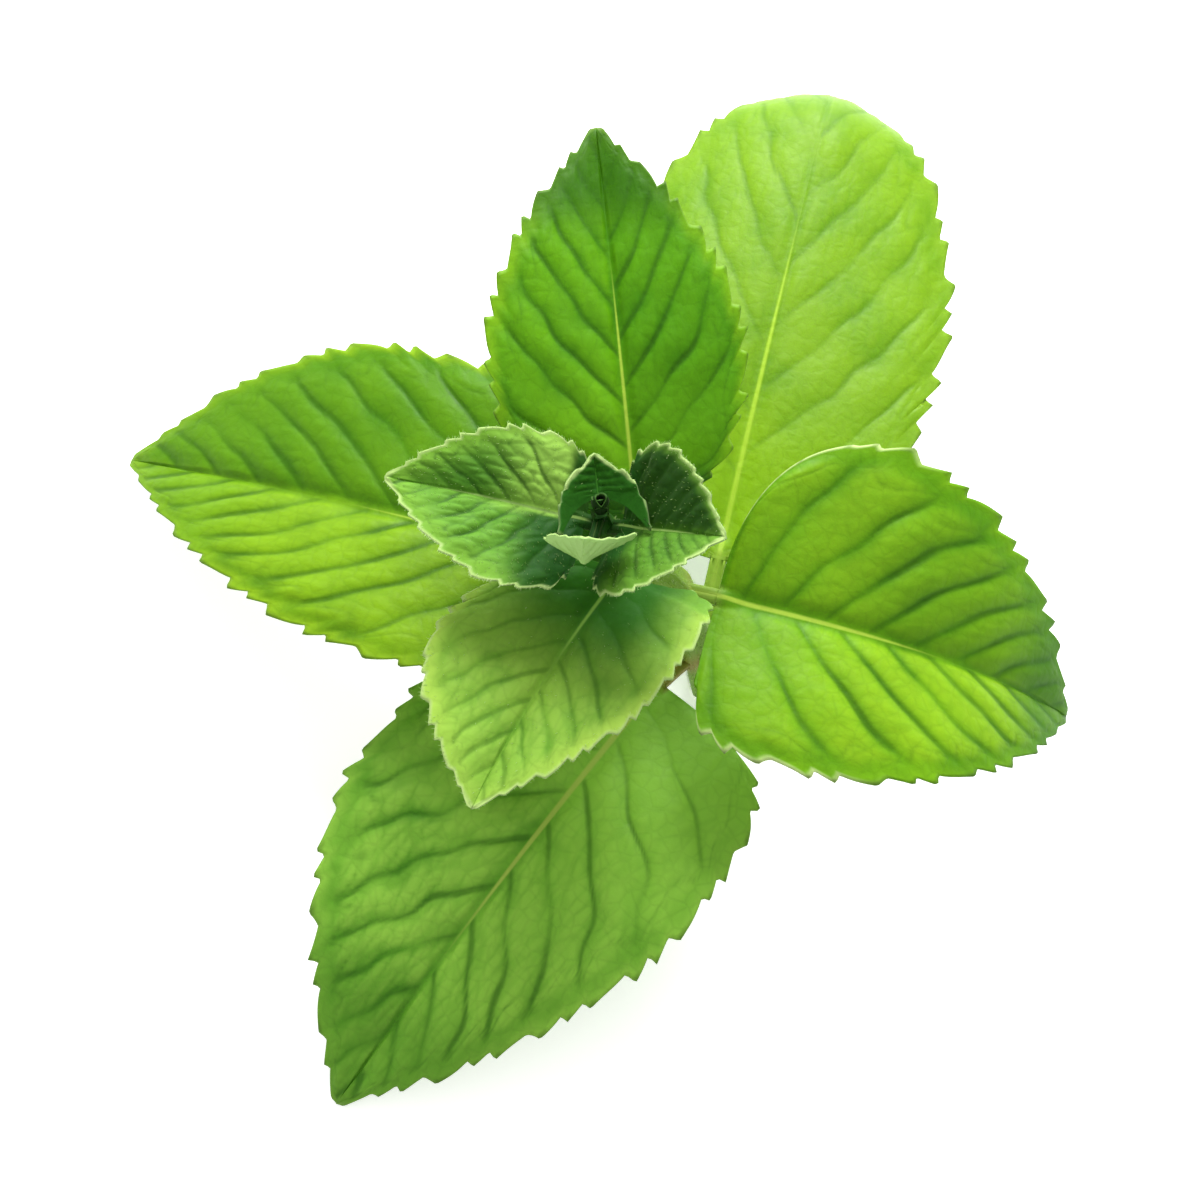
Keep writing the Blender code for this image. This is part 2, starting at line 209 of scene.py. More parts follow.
def flatHalf(leaf, side):
    # Flat places of one half blade, row by row, with what its veins need to know.
    along, out, run = marginLine(leaf, side)
    steps = leaf["toothSteps"]
    share = np.linspace(0, 1, leaf["teeth"] * steps + 1)
    beat = share * leaf["teeth"]
    unevenness = 0.22 * np.sin(beat * 2.3 + leaf["heading"] + side)
    beat = beat + unevenness * smooth(0, 0.1, share) * (1 - smooth(0.9, 1, share))
    tooth = np.floor(beat + 1e-9)
    phase = beat - tooth
    luck = chance(tooth + 40 * side + leaf["heading"])  # no two teeth are the same size
    across = 0 if side > 0 else 1
    lift = np.where(phase <= toothPeak, (np.clip(phase, 0, 1) / toothPeak) ** 0.95,
                    ((1 - phase) / (1 - toothPeak)) ** 1.3)
    lift[-1] = 0
    size = leaf["tooth"] * leaf["toothSides"][across] * (0.7 + 0.5 * luck)
    toothed = smooth(leaf["toothFrom"][across], leaf["toothFrom"][across] + toothRun, share)
    size = size * toothed * (1 - 0.6 * smooth(0.8, 1, share))
    dip = toothDip * leaf["tooth"] * toothed * (1 - smooth(0.9, 1, share))
    slopeX, slopeY = np.gradient(along, run), np.gradient(out, run)
    length = np.hypot(slopeX, slopeY)
    turnX = np.interp(share, run, slopeX / length)
    turnY = np.interp(share, run, slopeY / length)
    toothX = -turnY * (size * lift - dip) + toothLean * turnX * size * lift
    toothY = turnX * (size * lift - dip) + toothLean * turnY * size * lift
    toothX[-1] = toothY[-1] = 0

    end = np.stack([np.interp(share, run, along), np.interp(share, run, out)], 1)
    end[-1, 1] = 0
    start = np.stack([leaf["length"] * share ** rowPower, 0 * share], 1)
    step = end - start
    bulge = rowBulge * smooth(0.0, 0.3, share)[:, None]
    bow = (start + end) / 2 + bulge * np.stack([-step[:, 1], step[:, 0]], 1)
    bow[:, 0] += lobeBow * np.maximum(-step[:, 0], 0)  # in a lobe, rows set out sideways and bend back
    # t runs from 0 on the midrib to 1 on the margin
    t = (np.arange(leaf["columns"] + 1) / leaf["columns"]) ** columnPower
    tt = t[None, :, None]
    place = (1 - tt) ** 2 * start[:, None] + 2 * tt * (1 - tt) * bow[:, None] + tt ** 2 * end[:, None]
    rowLength = np.hypot(step[:, 0], step[:, 1])[:, None]
    edge = (1 - t)[None, :] * rowLength
    near = smooth(0.80, 1.0, t)[None, :, None]
    place = place + near * np.stack([toothX, toothY], 1)[:, None]

    # side veins: whole numbers of phi lie on a vein
    phi = leaf["veins"] * (0.25 * share + 0.75 * share ** rowPower) - (0.35 if side > 0 else 0.7)
    alongRow = np.gradient(place, t, axis=1)
    alongRow /= np.linalg.norm(alongRow, axis=2, keepdims=True) + 1e-9
    betweenRows = np.gradient(place, axis=0) / (np.gradient(phi)[:, None, None] + 1e-6)
    gap = np.abs(betweenRows[..., 0] * alongRow[..., 1] - betweenRows[..., 1] * alongRow[..., 0])
    blade = dict(place=place, phi=np.broadcast_to(phi[:, None], gap.shape), t=np.broadcast_to(t, gap.shape),
                 gap=gap, edge=edge, lift=np.broadcast_to(lift[:, None], gap.shape))

    # the stalk, a strip of the same columns
    reach = stemPlaces[leaf["node"]][1] * 0.7 - leaf["stalk"]  # it sets out inside the stem
    stalkX = np.linspace(reach, 0, stalkRows, endpoint=False)
    stalk = np.stack(np.broadcast_arrays(stalkX[:, None], stalkHalf(leaf) * t), -1)
    zero = np.zeros(stalk.shape[:2])
    rest = dict(place=stalk, phi=zero + phi[0], t=zero + t, gap=zero + 0.01, edge=zero + 5.0, lift=zero)
    return {key: np.concatenate([rest[key], blade[key]]) for key in blade}


def midribLine(leaf, count=500):
    total = leaf["stalk"] + leaf["length"]
    # it runs on past both ends, for the base's lobes and the last teeth
    reach = np.linspace(-leaf["lobe"], total + 1, count)
    t = np.clip(reach / total, 0, 1)
    rise = np.radians(leaf["rise"] - leaf["droop"] * t
                      - leaf["tipDroop"] * smooth(leaf["tipFrom"], 1, t))
    stalkShare = 1.6 * leaf["stalk"] / total
    turn = leaf["sweep"] * t + leaf["stalkTurn"] * (1 - smooth(0, stalkShare, t))
    heading = np.radians(leaf["heading"] + turn)
    ahead = np.stack([np.cos(rise) * np.cos(heading), np.cos(rise) * np.sin(heading), np.sin(rise)], 1)
    left = np.stack([-np.sin(heading), np.cos(heading), 0 * heading], 1)
    steps = np.diff(reach)[:, None] * (ahead[1:] + ahead[:-1]) / 2
    places = np.concatenate([[np.zeros(3)], np.cumsum(steps, 0)])
    places += stemPlaces[leaf["node"]][0] - np.array([np.interp(0, reach, line) for line in places.T])
    return reach - leaf["stalk"], places, left, np.cross(ahead, left)


def bend(leaf, line, x, y, side):
    # A flat place to space: along the midrib, then folded and curled across it.
    reach, places, left, up = line
    along = [np.stack([np.interp(x, reach, part[:, axis]) for axis in range(3)], -1)
             for part in (places, left, up)]
    across = 0 if side > 0 else 1
    share = np.clip(x / leaf["length"], 0, 1)
    out = y / (leaf["width"] / 2)
    curl = leaf["curl"][across] if isinstance(leaf["curl"], tuple) else leaf["curl"]
    angle = np.radians(leaf["fold"][across] + leaf["foldTip"] * share + curl * out / 2)
    chord = y * np.sinc(np.radians(curl * out) / 2 / np.pi)
    level = (side * chord * np.cos(angle))[..., None]
    swell = leaf["wave"] * out ** 2 * np.sin(2 * np.pi * (share * leaf["waves"] + 0.25 * side))
    lift = (chord * np.sin(angle) + swell)[..., None]
    return along[0] + along[1] * level + along[2] * lift


def wobble(x, y, size, turn):
    # A smooth wander between about -1 and 1, with hills of that size in millimetres.
    waves = 0
    for index, (angle, scale) in enumerate(((0.3, 1.0), (1.5, 1.31), (2.6, 0.77), (4.0, 1.73))):
        way = angle + turn
        waves = waves + np.sin((x * np.cos(way) + y * np.sin(way)) * scale * 2 * np.pi / size
                               + 1.7 * index + 3.1 * turn)
    return waves / 2.6


def cellNet(u, v, seed):
    # Uneven cells about one unit across: 0 on their borders, near 1 in their middles.
    nearest = np.full(u.shape, 9.0)
    second = np.full(u.shape, 9.0)
    for stepU in (-1, 0, 1):
        for stepV in (-1, 0, 1):
            cellU, cellV = np.floor(u) + stepU, np.floor(v) + stepV
            shiftU = 0.5 + 0.75 * (chance(cellU * 7 + cellV * 131 + seed) - 0.5)
            shiftV = 0.5 + 0.75 * (chance(cellU * 57 + cellV * 17 + seed + 5) - 0.5)
            distance = np.hypot(cellU + shiftU - u, cellV + shiftV - v)
            second = np.minimum(second, np.maximum(nearest, distance))
            nearest = np.minimum(nearest, distance)
    return second - nearest


def veinRelief(leaf, half, side):
    # Height of the upper face in mm, and from 0 to 1 how deep each place lies in a groove, how high on
    # a puffed cell, and how near the middle of a side vein.
    x, y = half["place"][..., 0], half["place"][..., 1]
    t = half["t"]
    reach = np.clip(x / leaf["length"], 0, 1)
    turn = leaf["heading"] * 0.017 + side
    size = growth(leaf)
    phi = half["phi"] + leaf["stray"] * wobble(x, y, 9.0 * size, turn) * smooth(0.03, 0.4, t)
    band = np.floor(phi)
    part = phi - band
    gap = np.minimum(half["gap"], 5.0 * size)
    onBlade = smooth(0.0, 0.8, x) * smooth(0.0, 0.10, t) * (1 - smooth(0.80, 0.97, t))
    strength = leaf["nearRib"] + (1 - leaf["nearRib"]) * smooth(0.05, 0.45, t)
    strength = strength * (leaf["nearBase"] + (1 - leaf["nearBase"]) * smooth(0.05, 0.45, reach))
    strength = strength * (0.8 + 0.35 * wobble(x, y, 15.0 * size, turn + 2))
    hill = np.sin(np.pi * part) ** 0.7

    # the small veins part each band into cells
    rowLength = np.clip(half["edge"] / np.maximum(1 - t, 1e-3), 1, 40)
    down = t * rowLength / leaf["cell"]
    net = cellNet(phi * leaf["perBand"], down, leaf["heading"] + 31 * side)
    dome = smooth(0.0, 0.55, net)
    crack = (1 - smooth(0.03, 0.22, net)) * onBlade * smooth(0.2, 1.2, gap)

    # near the margin each vein bends forward and joins the next in a loop
    loop = 0.83 + 0.05 * np.cos(2 * np.pi * part) + 0.02 * wobble(x, y, 6.0, turn + 3)
    loopCut = np.exp(-((t - loop) / 0.02) ** 2) * smooth(0.0, 0.1, part) * (1 - smooth(0.9, 1, part))
    loopCut = loopCut * smooth(0.3, 2.0, x)

    distance = np.minimum(part, 1 - part) * gap  # mm from the nearest side vein
    vein = np.exp(-(distance / (leaf["veinWidth"] * size + 0.04)) ** 2) * smooth(0.0, 0.03, t)
    vein = vein * (1 - smooth(0.80, 0.95, t)) * smooth(0.0, 0.8, x)
    height = leaf["puff"] * gap * hill * (1 - leaf["cross"] + leaf["cross"] * dome) * onBlade * strength
    height = height - relief["loop"] * size * loopCut
    # the midrib lies in a shallow trough of its own
    trough = np.exp(-(y / (relief["troughHalf"] * size)) ** 2)
    trough = trough * smooth(0, 4, x) * (1 - smooth(0.85, 1, reach))
    height = height - leaf["trough"] * size * trough
    ridge = np.exp(-(y / (relief["ridgeHalf"] * size)) ** 2) * (1 - smooth(0.35, 0.85, reach))
    height = height + relief["ridge"] * size * ridge * smooth(-0.5, 1.0, x)
    # the stalk is round on top
    halfStalk = stalkHalf(leaf)
    crown = np.sqrt(np.clip(1 - (y / halfStalk) ** 2, 0, 1))
    height = height + relief["stalkRound"] * halfStalk * crown * (1 - smooth(-0.5, 3.0, x))
    groove = vein * np.clip(strength, 0, 1.15)
    groove = groove + leaf["crack"] * crack * (0.4 + 0.6 * hill) * np.clip(strength, 0, 1)
    groove = np.clip(groove + 0.45 * loopCut, 0, 1) * smooth(0.0, 0.8, x)
    return height, groove, hill * (1 - leaf["cellShare"] * (1 - dome)) * onBlade, vein


def leafMesh(name, leaf):
    line = midribLine(leaf)
    size = growth(leaf)
    nudge = 0.05  # mm, to find which way the blade faces
    halves = {}
    for side in (1, -1):
        half = flatHalf(leaf, side)
        x, y = half["place"][..., 0], half["place"][..., 1]
        height, groove, hill, vein = veinRelief(leaf, half, side)
        ahead = bend(leaf, line, x + nudge, y, side) - bend(leaf, line, x - nudge, y, side)
        out = side * (bend(leaf, line, x, y + nudge, side) - bend(leaf, line, x, y - nudge, side))
        up = np.cross(ahead, out)
        up /= np.linalg.norm(up, axis=-1, keepdims=True)
        # the two halves lean towards each other, so the midrib takes a way between them
        middle = np.stack([np.interp(x, line[0], line[3][:, axis]) for axis in range(3)], -1)
        middle = middle + (up - middle) * smooth(0, 1.2 * size, y)[..., None]
        up = middle / np.linalg.norm(middle, axis=-1, keepdims=True)
        share = np.clip(x / leaf["length"], 0, 1)
        rib = leaf["rib"] * size * (1 - 0.9 * share ** 0.8)
        width = relief["ribHalf"] * size + relief["ribHalfLeast"]
        thick = leaf["blade"] + rib * np.exp(-(y / width) ** 2)
        backVein = relief["backVein"] * size * vein
        thick = thick + backVein * smooth(0, 1.5, x) * (1 - smooth(0.6, 0.9, half["t"]))
        nearEdge = smooth(0.90, 1.0, half["t"]) * smooth(-1, 1, x)
        thick = thick * (1 - nearEdge) + leaf["rimThickness"] * nearEdge
        base = bend(leaf, line, x, y, side)
        top = base + up * height[..., None]
        ahead /= np.linalg.norm(ahead, axis=-1, keepdims=True)
        out = side * out / np.linalg.norm(out, axis=-1, keepdims=True)
        ribHalf = size * (0.08 + 0.24 * (1 - share)) * leaf["ribWidth"]
        ribEnd = leaf["ribFade"]
        rib = np.exp(-(y / ribHalf) ** 2) * (1 - smooth(ribEnd - 0.3, ribEnd + 0.2, share))
        rim = smooth(0.90, 0.99, half["t"]) * smooth(0, 1.5, x)
        cover = leaf["down"] * smooth(0, 1, x)
        cover = cover + leaf["fringe"] * smooth(0.94, 1.0, half["t"]) * smooth(0, 1, x)
        stalk = (1 - smooth(-1.0, 0.04 * leaf["length"], x)) * (1 - smooth(1.2, 2.0, y / stalkHalf(leaf)))
        halves[side] = dict(
            top=top, bottom=top - up * thick[..., None], flatX=x, flatY=side * y,
            groove=groove, hill=hill, rib=rib, phi=half["phi"], t=half["t"], reach=share, stalk=stalk,
            edge=half["edge"] + 5 * (1 - smooth(-0.5, 1.0, x)),
            tooth=half["lift"] * smooth(0.90, 1.0, half["t"]),
            cover=cover, lean=up * (1 - rim)[..., None] + 0.5 * ahead + 1.4 * out * rim[..., None])

    # both halves side by side, right margin to left margin
    whole = {key: np.concatenate([halves[-1][key][:, :0:-1], halves[1][key]], 1) for key in halves[1]}
    rows, columns = whole["flatX"].shape
    body = (rows - 1) * columns + 1  # every row but the last, which is one point

    def once(grid):
        # each point one time, with the last row as the single point on the midrib
        flat = grid.reshape(rows * columns, *grid.shape[2:])
        last = (rows - 1) * columns
        return np.concatenate([flat[:last], flat[last + columns // 2][None]])

    def at(row, column):
        return row * columns + (column if row < rows - 1 else 0)

    points = np.concatenate([once(whole["top"]), once(whole["bottom"])]) - origin
    faces = []
    for row in range(rows - 1):
        for column in range(columns - 1):
            a, b = at(row, column), at(row + 1, column)
            c, d = at(row + 1, column + 1), at(row, column + 1)
            corners = (a, b, c, d) if b != c else (a, b, d)
            faces.append(corners)
            faces.append(tuple(body + corner for corner in reversed(corners)))
        for column in (0, columns - 1):  # the margins
            a, b = at(row, column), at(row + 1, column)
            rim = (a, body + a, body + b, b)
            faces.append(rim if column == 0 else rim[::-1])
    for column in range(columns - 1):  # the stalk's end
        a, b = at(0, column), at(0, column + 1)
        faces.append((a, b, body + b, body + a))

    mesh = bpy.data.meshes.new(name)
    mesh.from_pydata((points * mm).tolist(), [], faces)
    for key in ("groove", "hill", "rib", "edge", "tooth", "reach", "stalk"):
        layer = mesh.attributes.new(key, "FLOAT", "POINT")
        layer.data.foreach_set("value", np.tile(once(whole[key]), 2).astype(np.float32))
    # hairs stand on the upper face and the margin, lean forward, and point outwards on the margin
    cover = mesh.attributes.new("cover", "FLOAT", "POINT")
    onTop = once(whole["cover"])
    cover.data.foreach_set("value", np.concatenate([onTop, 0 * onTop]).astype(np.float32))
    lean = mesh.attributes.new("lean", "FLOAT_VECTOR", "POINT")
    lean.data.foreach_set("vector", np.tile(once(whole["lean"]), (2, 1)).astype(np.float32).ravel())
    under = mesh.attributes.new("under", "FLOAT", "POINT")
    under.data.foreach_set("value", np.repeat([0.0, 1.0], body).astype(np.float32))
    corner = np.zeros(len(mesh.loops), dtype=np.int32)
    mesh.loops.foreach_get("vertex_index", corner)
    for layerName, u, v in (("flat", "flatX", "flatY"), ("veins", "phi", "t")):
        pair = np.stack([np.tile(once(whole[u]), 2), np.tile(once(whole[v]), 2)], 1)[corner]
        mesh.uv_layers.new(name=layerName).data.foreach_set("uv", pair.astype(np.float32).ravel())
    mesh.shade_smooth()
    mesh.update()
    return mesh


def addPiece(name, mesh, material, slotName, *nodes):
    mesh.materials.clear()
    mesh.materials.append(material)
    piece = bpy.data.objects.new(name, mesh)
    bpy.context.scene.collection.objects.link(piece)
    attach(piece, "root")
    if nodes:
        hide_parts(*nodes)
    return piece


# What a leaf's colour has unless its own look says otherwise. In the names, Share is how much of that
# colour shows, From, End, Near and Reach are shares of the leaf's length, and Width, Size, Edge and
# baseHalf are mm. halfShadingSide, shadeHalf and baseLean name a side: 1 is left, -1 right. netWidth is a share
# of netSize, and grain is the depth of the skin's fine grain in metres.
usualLook = dict(
    hillShare=0.55, mottleShare=0.25, bandWidth=2.4, bandShare=0.6, baseLean=0.0, halfShadingEdge=2.0,
    halfShadingFrom=-0.4, tipFrom=0.78, grooveDepth=0.55, netShare=0.10, rimWidth=0.25, rimShare=0.4, rimReach=1.2,
    toothShare=0.6, stalkShare=0.7, roughLow=0.42, roughHigh=0.56, gloss=0.22, down=0.0, through=0.3,
    blotchSize=8.0, mottleSize=1.1, netSize=1.4, netWidth=0.16, grain=0.00012, sheen="#e6f5c8")


def leafTissue(name, ownLook):
    # Living leaf: a waxy skin over thin, wet, light-passing green tissue. The eye gets soft
    # broad highlights on the puffed cells, darker grooves, and a glow where light comes through.
    # The lighter cells and darker grooves are partly the leaf's own colour and partly painted light and
    # shade.
    look = {**usualLook, **ownLook}
    made, tree = emptyMaterial(name)
    flat = addNode(tree, "ShaderNodeUVMap", uv_map="flat").outputs["UV"]
    groove, hill, rib, edge, tooth, reach, stalk, under = (
        addNode(tree, "ShaderNodeAttribute", attribute_name=key).outputs["Fac"]
        for key in ("groove", "hill", "rib", "edge", "tooth", "reach", "stalk", "under"))

    def shareOf(*ramps):
        # How much of a colour shows: soft ramps, each (what is read, from, to, share there, share here),
        # multiplied together.
        share = None
        for source, start, end, first, last in ramps:
            ramp = addNode(tree, "ShaderNodeMapRange", {0: source, 1: start, 2: end, 3: first, 4: last},
                           interpolation_type="SMOOTHSTEP")
            share = ramp if share is None else addNode(
                tree, "ShaderNodeMath", {0: share, 1: ramp}, operation="MULTIPLY")
        return share

    # blotches, a finer mottle, and the net of the finest veins
    blotch = addNode(tree, "ShaderNodeTexNoise",
                     {"Vector": flat, "Scale": 1 / look["blotchSize"], "Detail": 2.0})
    mottle = addNode(tree, "ShaderNodeTexNoise",
                     {"Vector": flat, "Scale": 1 / look["mottleSize"], "Detail": 3.0})
    net = addNode(tree, "ShaderNodeTexVoronoi", {"Vector": flat, "Scale": 1 / look["netSize"]},
                  feature="DISTANCE_TO_EDGE").outputs["Distance"]
    netLine = addNode(tree, "ShaderNodeMath",
                      {0: shareOf((net, 0.0, look["netWidth"], 1.0, 0.0)), 1: look["netShare"]},
                      operation="MULTIPLY")
    sideways = addNode(tree, "ShaderNodeSeparateXYZ", {0: flat}).outputs[1]  # mm from the midrib, + is left

    def towards(which):
        # mm out from the midrib, counted towards the side that the look names
        return addNode(tree, "ShaderNodeMath", {0: sideways, 1: look[which]}, operation="MULTIPLY")

    # the colours laid over the green, from the bottom up: how much of each shows, and its name
    layers = [
        # lighter puffed cells: partly their own colour, partly painted light where the relief meets the light
        (shareOf((hill, 0.0, 0.9, 0.0, look["hillShare"])), "hill"),
        (shareOf((mottle, 0.35, 0.7, 0.0, look["mottleShare"])), "bright"),
        (shareOf((edge, 0.3, look["bandWidth"], look["bandShare"], 0.0)), "band")]
    # a colour near the base on one side: on upper_front_leaf it is painted shadow
    if "base" in look:
        fromRib = addNode(tree, "ShaderNodeMath", {0: sideways}, operation="ABSOLUTE")
        fromRib = addNode(tree, "ShaderNodeMath", {0: fromRib, 1: towards("baseLean")},
                          operation="SUBTRACT")
        layers.append((shareOf((reach, look["baseEnd"], 0.25 * look["baseEnd"], 0.0, look["baseShare"]),
                               (fromRib, look["baseHalf"], 0.3 * look["baseHalf"], 0.0, 1.0)), "base"))
    if "halfShading" in look:  # painted light and shade: one half is lighter or darker than the other, as it faces towards or away from the light
        layers.append((shareOf((towards("halfShadingSide"), -0.3, 0.9, 0.0, look["halfShadingShare"]),
                               (edge, 0.0, look["halfShadingEdge"], 0.0, 1.0),
                               (reach, look["halfShadingFrom"], look["halfShadingFrom"] + 0.3, 0.0, 1.0)), "halfShading"))
    if "shade" in look:  # painted shade next to the stem, where the leaves above shade it
        shadeEnd = look["shadeNear"] + 0.06
        layers.append((shareOf((reach, shadeEnd, look["shadeNear"], 0.0, 0.95)), "shade"))
    if "shadeHalf" in look:  # painted shade that reaches farther out on one half
        layers.append((shareOf((towards("shadeHalf"), 0.0, 0.8, 0.0, 1.0),
                               (reach, look["shadeEnd"], 0.5 * look["shadeEnd"], 0.0, 0.95)), "shade"))
    # a colour towards the tip: on lowest_back_leaf a painted highlight, on lowest_front_leaf and right_leaf
    # painted shade
    if "tip" in look:
        tipEnd = look["tipFrom"] + 0.17
        layers.append((shareOf((reach, look["tipFrom"], tipEnd, 0.0, look["tipShare"])), "tip"))
    layers += [
        # darker grooves: partly the veins' own colour, partly painted shade in the grooves
        (shareOf((groove, 0.1, 1.0, 0.0, look["grooveDepth"])), "groove"),
        (netLine, "groove"),
        (shareOf((rib, 0.15, 0.75, 0.0, 1.0)), "rib"),
        (shareOf((edge, 0.0, look["rimWidth"], look["rimShare"], 0.0),
                 (reach, look["rimReach"], look["rimReach"] - 0.2, 0.0, 1.0)), "rim"),
        (shareOf((tooth, 0.55, 1.0, 0.0, look["toothShare"])), "tooth")]

    colour = addNode(tree, "ShaderNodeMix", {
        0: shareOf((blotch, 0.35, 0.65, 0.0, 1.0)), 6: toLinear(look["deep"]), 7: toLinear(look["bright"])},
        data_type="RGBA").outputs[2]
    for share, layer in layers:
        colour = addNode(tree, "ShaderNodeMix", {0: share, 6: colour, 7: toLinear(look[layer])},
                         data_type="RGBA").outputs[2]
    below = addNode(tree, "ShaderNodeMix", {
        0: shareOf((groove, 0.2, 1.0, 0.0, 0.6)), 6: toLinear(look["under"]), 7: toLinear(look["underVein"])},
        data_type="RGBA").outputs[2]
    colour = addNode(tree, "ShaderNodeMix", {0: under, 6: colour, 7: below}, data_type="RGBA").outputs[2]
    # the stalk's colour: on the young leaves round the bud it is painted dark, as shade
    colour = addNode(tree, "ShaderNodeMix", {
        0: shareOf((stalk, 0.1, 0.9, 0.0, look["stalkShare"])), 6: colour, 7: toLinear(look["stalk"])},
        data_type="RGBA").outputs[2]

    rough = addNode(tree, "ShaderNodeMapRange",
                    {0: mottle, 1: 0.3, 2: 0.7, 3: look["roughLow"], 4: look["roughHigh"]})
    grain = addNode(tree, "ShaderNodeMath", {0: net, 1: mottle}, operation="ADD")
    bump = addNode(tree, "ShaderNodeBump", {"Strength": 0.5, "Distance": look["grain"], "Height": grain})
    skin = addNode(tree, "ShaderNodeBsdfPrincipled", {
        "Base Color": colour, "Roughness": rough, "Normal": bump, "IOR": 1.42,
        "Specular IOR Level": look["gloss"], "Sheen Weight": look["down"], "Sheen Roughness": 0.45,
        "Sheen Tint": toLinear(look["sheen"])})
    glow = addNode(tree, "ShaderNodeMix", {0: 0.5, 6: colour, 7: toLinear(look["glow"])},
                   data_type="RGBA").outputs[2]
    through = addNode(tree, "ShaderNodeBsdfTranslucent", {"Color": glow, "Normal": bump})
    both = addNode(tree, "ShaderNodeMixShader", {0: look["through"], 1: skin, 2: through})
    addNode(tree, "ShaderNodeOutputMaterial", {"Surface": both})
    return made


# Full-grown leaves are smooth and yellow-green; the youngest are greyer, with a pale downy rim.
fullGreen = dict(
    deep="#437804", bright="#629708", hill="#7bad11", groove="#234c03", band="#82b016",
    rib="#a3c040", rim="#86a548", tooth="#3c5418", under="#6d8f46", underVein="#94b066",
    stalk="#8fa848", glow="#a8d820", gloss=0.18)
downyGreen = dict(
    deep="#3e6a22", bright="#5d8832", hill="#6a9440", groove="#234a12", band="#7ba04a",
    rib="#7fa050", rim="#b4cc80", tooth="#a9c478", under="#7c9a5c", underVein="#9ab67a",
    stalk="#88a458", glow="#9cc84a",
    rimWidth=0.5, rimShare=0.9, toothShare=0.5, down=0.08, gloss=0.16, roughLow=0.55, roughHigh=0.7)

lowestBack = dict(
    piece="lowest_back_leaf", cadNode="leaf_lowest_back", node="node1", stalk=9.0, length=64.0,
    width=34.0, teeth=21, tooth=0.9, heading=77, sweep=-1, rise=13, droop=21.5, tipDroop=96,
    tipFrom=0.73, fold=(6, 6), foldTip=-26, curl=-10, widest=(0.46, 0.46), square=(2.4, 2.4), puff=0.06,
    crack=0.12, cross=0.12, veins=10, ribWidth=0.85, ribFade=0.55, toothSides=(1.3, 1.3),
    look=dict(fullGreen, deep="#5c8a06", bright="#779f10", hill="#7ca418", groove="#4c7608",
        # its pale tip is a painted highlight, the sheen on the bend of the tip
        rib="#a6c834", band="#7ba020", glow="#c0e61e", through=0.4, gloss=0.3, tip="#a2bc7e",
        tipShare=0.9, tipFrom=0.76, base="#8cb808", baseShare=0.6, baseEnd=0.35, baseHalf=20))
lowestFront = dict(
    piece="lowest_front_leaf", cadNode="leaf_lowest_front", node="node1", stalk=5.5, length=51.6,
    width=34.2, teeth=20, tooth=0.85, heading=233.8, sweep=-3.4, stalkTurn=-12, rise=15, droop=46.3,
    veins=10, crack=0.15, cross=0.2, fold=(6, 6), curl=-10, sides=(0.97, 1.05), widest=(0.33, 0.47),
    square=(3.3, 4.0), ribFade=0.62, nearBase=0.6, puff=0.12, stray=0.13,
    look=dict(fullGreen, deep="#4c8a1c", bright="#74ac34", hill="#9ccc4c", band="#9ccc4c",
        groove="#1c4c08", base="#8cbe40", baseShare=0.75, baseEnd=0.5, baseHalf=40, stalk="#8a5c34",
        # its darker tip is painted shade, where it droops away from the light, and its lighter left half is
        # painted light
        hillShare=0.7, tip="#3c7414", tipShare=0.6, tipFrom=0.66, grooveDepth=0.6, halfShading="#8cc440",
        halfShadingSide=1, halfShadingShare=0.3, rib="#a6bc50", glow="#96d42c"))
rightLeaf = dict(
    piece="right_leaf", cadNode="leaf_right", node="node2", stalk=4.0, length=43.0, width=35.0,
    teeth=18, tooth=0.8, heading=-16, sweep=14.5, rise=11.5, droop=74.5, fold=(18, 8), curl=-8,
    sides=(1.0, 0.86), widest=(0.31, 0.26), square=(2.3, 4.5), veins=10, nearRib=0.75, crack=0.06,
    cross=0.10, puff=0.12, stray=0.07, veinWidth=0.38, cellShare=0.15, ribWidth=0.75, ribFade=0.5,
    toothSides=(1.6, 1.1), toothFrom=(0.30, 0.06),
    look=dict(fullGreen, deep="#477d05", bright="#689c0a", hill="#8cb41c", band="#7eac14",
        groove="#1e4604", hillShare=0.7, grooveDepth=0.65, base="#568c08", baseShare=0.5, baseEnd=0.4,
        # its darker tip and darker left half are painted shade, where they face away from the light
        baseHalf=20, tip="#306800", tipShare=0.75, tipFrom=0.68, halfShading="#3c7806", halfShadingSide=1,
        halfShadingShare=0.45, halfShadingFrom=0.15, bandShare=0.3, rim="#c2d48c", rimWidth=0.7, rimShare=0.9,
        rimReach=0.45))
leftLeaf = dict(
    piece="left_leaf", cadNode="leaf_left", node="node2", stalk=6.0, length=57.0, width=31.5, teeth=21,
    tooth=0.8, heading=164, sweep=-10, rise=3, droop=41.7, fold=(10, 10), curl=-10, sides=(0.94, 1.05),
    widest=(0.33, 0.52), square=(4.2, 4.5), puff=0.11, crack=0.12, cross=0.12, cellShare=0.3,
    ribWidth=0.7, ribFade=0.45, veins=12,
    look=dict(fullGreen, deep="#4c7606", bright="#6c960a", hill="#84aa14", band="#88ac18",
        # its darker right half is painted shade, where it faces away from the light, and so is the dark next
        # to the stem
        groove="#224a03", grooveDepth=0.6, tip="#558408", tipShare=0.5, tipFrom=0.6, halfShading="#2f6c06",
        halfShadingSide=-1, halfShadingShare=0.62, shade="#18480a", shadeNear=0.12))
